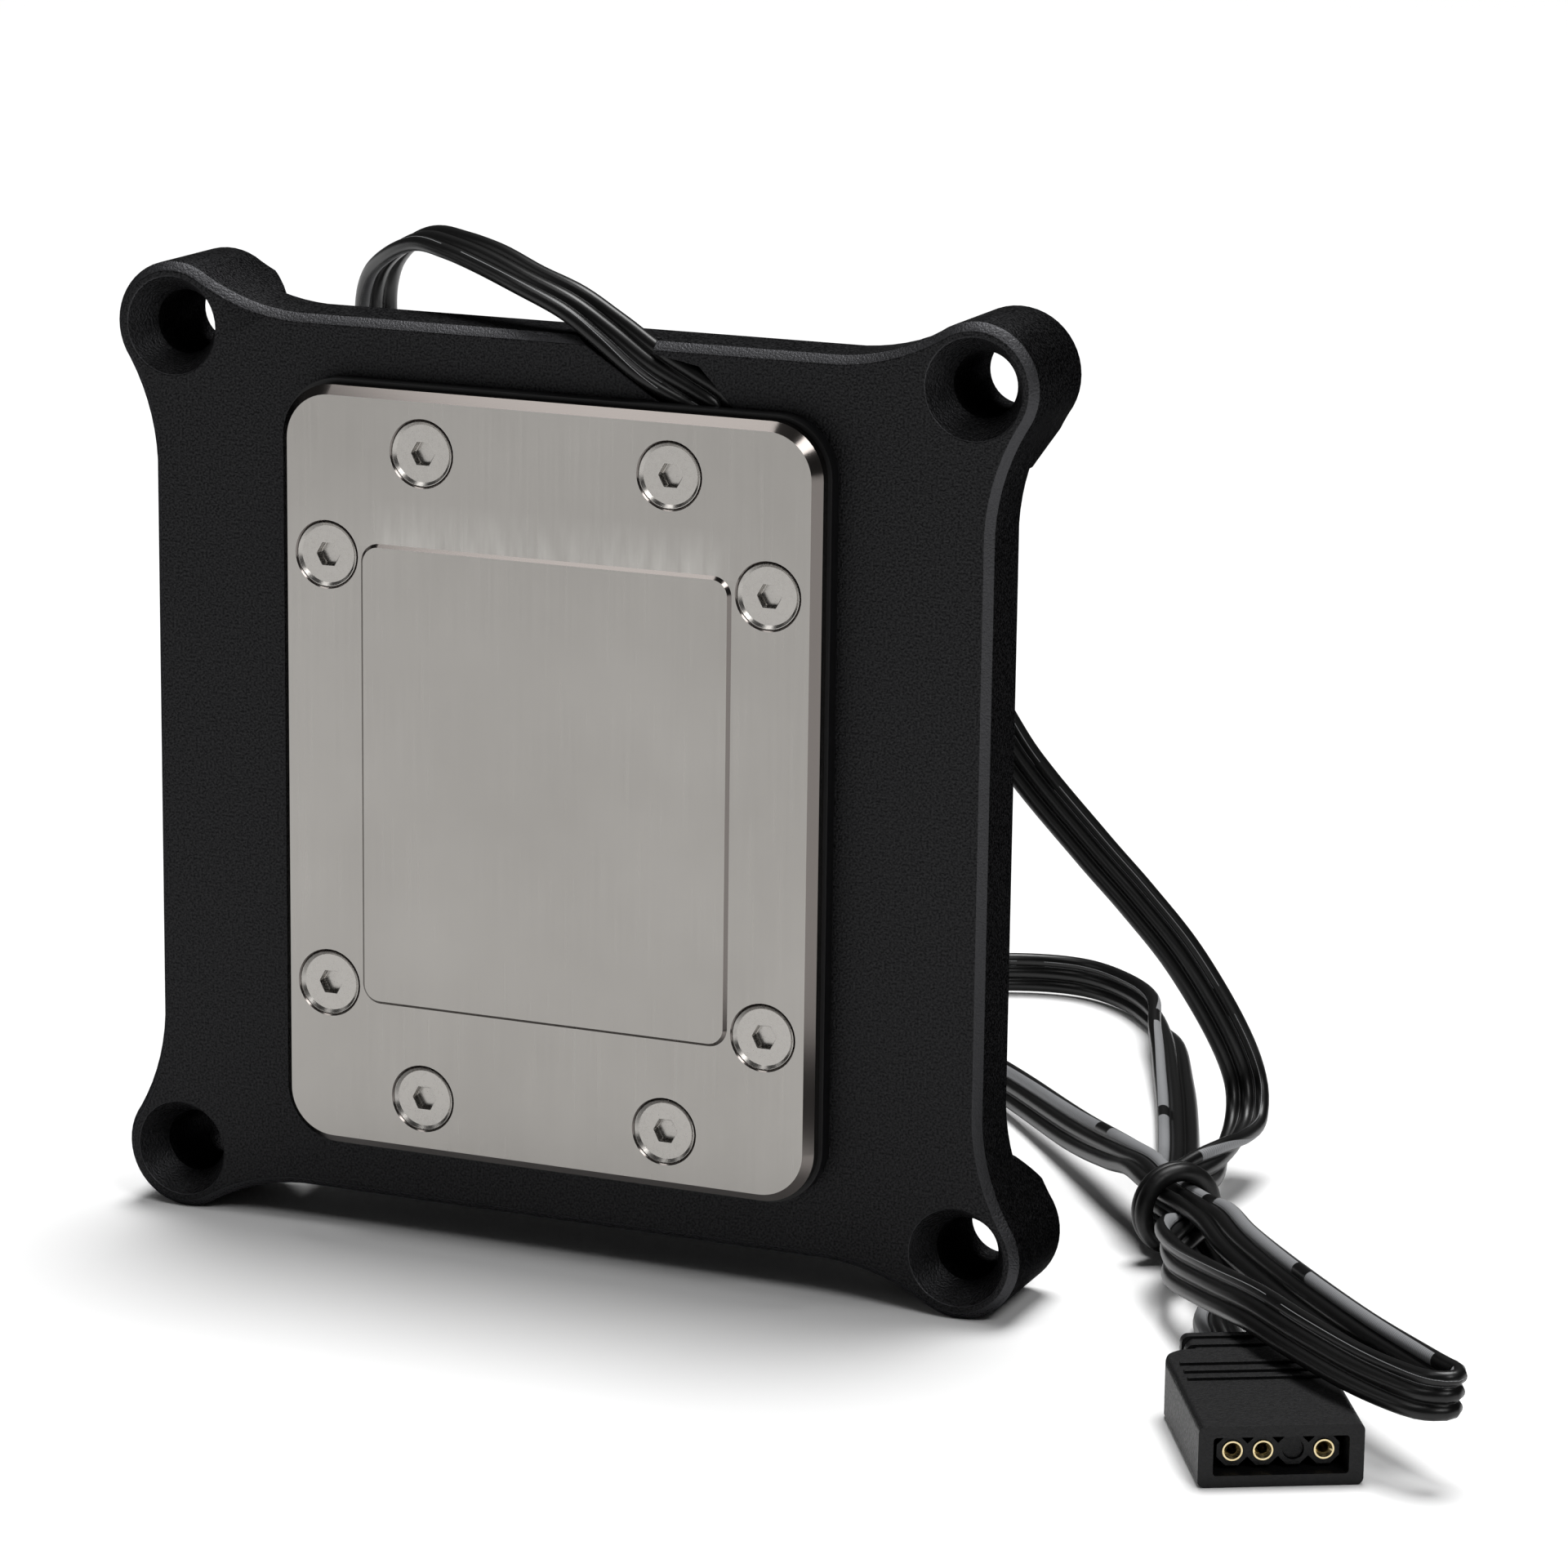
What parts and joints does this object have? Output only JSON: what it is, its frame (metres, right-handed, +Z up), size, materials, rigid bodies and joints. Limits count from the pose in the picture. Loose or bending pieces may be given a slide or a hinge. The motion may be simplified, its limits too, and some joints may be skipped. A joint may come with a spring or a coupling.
{
  "type": "cpu water block",
  "caption": "Liquid-cooling block for a computer processor: plated cold plate in a black frame with countersunk corner ears, ports behind, and a tied flat lead that ends in a small socket.",
  "frame": {"origin": "centre of the bottom of the block's box, without the lead: midway between the two lower ears, at the middle of the block's depth, on the surface it stands on", "axes": "+Y from the cold plate to the ports, along the block's depth; +Z up; +X to the right as seen from the cold side"},
  "size_m": [0.1367, 0.1374, 0.093],
  "materials": {
    "frame_anodised": "bead-blasted and anodised black",
    "nickel_plate": "ground and nickel-plated",
    "screw_steel": "nickel-plated",
    "insert_brass": "machined",
    "seal_rubber": "matt",
    "jet_steel": "rolled",
    "flow_plastic": "moulded",
    "body_acetal": "milled",
    "port_acrylic": "clear, polished",
    "screw_black": "black oxide",
    "cover_anodised": "anodised black",
    "board": "black solder mask",
    "led_lens": "cast resin",
    "capacitor": "ceramic",
    "lead_pvc": "glossy sheath",
    "tie_pvc": "glossy",
    "socket_plastic": "moulded",
    "contact_gold": "gold-plated"
  },
  "bodies": {
    "root": {"mounting_frame": "frame_anodised", "cold_plate": "nickel_plate", "cold_plate_screws": "screw_steel", "threaded_inserts": "insert_brass", "chamber_seal": "seal_rubber", "jet_plate": "jet_steel", "flow_insert": "flow_plastic", "block_body": "body_acetal", "channel_seals": "seal_rubber", "port_block": "port_acrylic", "port_block_screws": "screw_black", "rear_cover": "cover_anodised", "cover_screws": "screw_black", "led_board": "board", "led_packages": "led_lens", "led_capacitors": "capacitor", "lead": "lead_pvc", "cable_tie": "tie_pvc", "connector_shell": "socket_plastic", "connector_insert": "socket_plastic", "connector_contacts": "contact_gold", "connector_key_plug": "socket_plastic"}
  },
  "joints": []
}
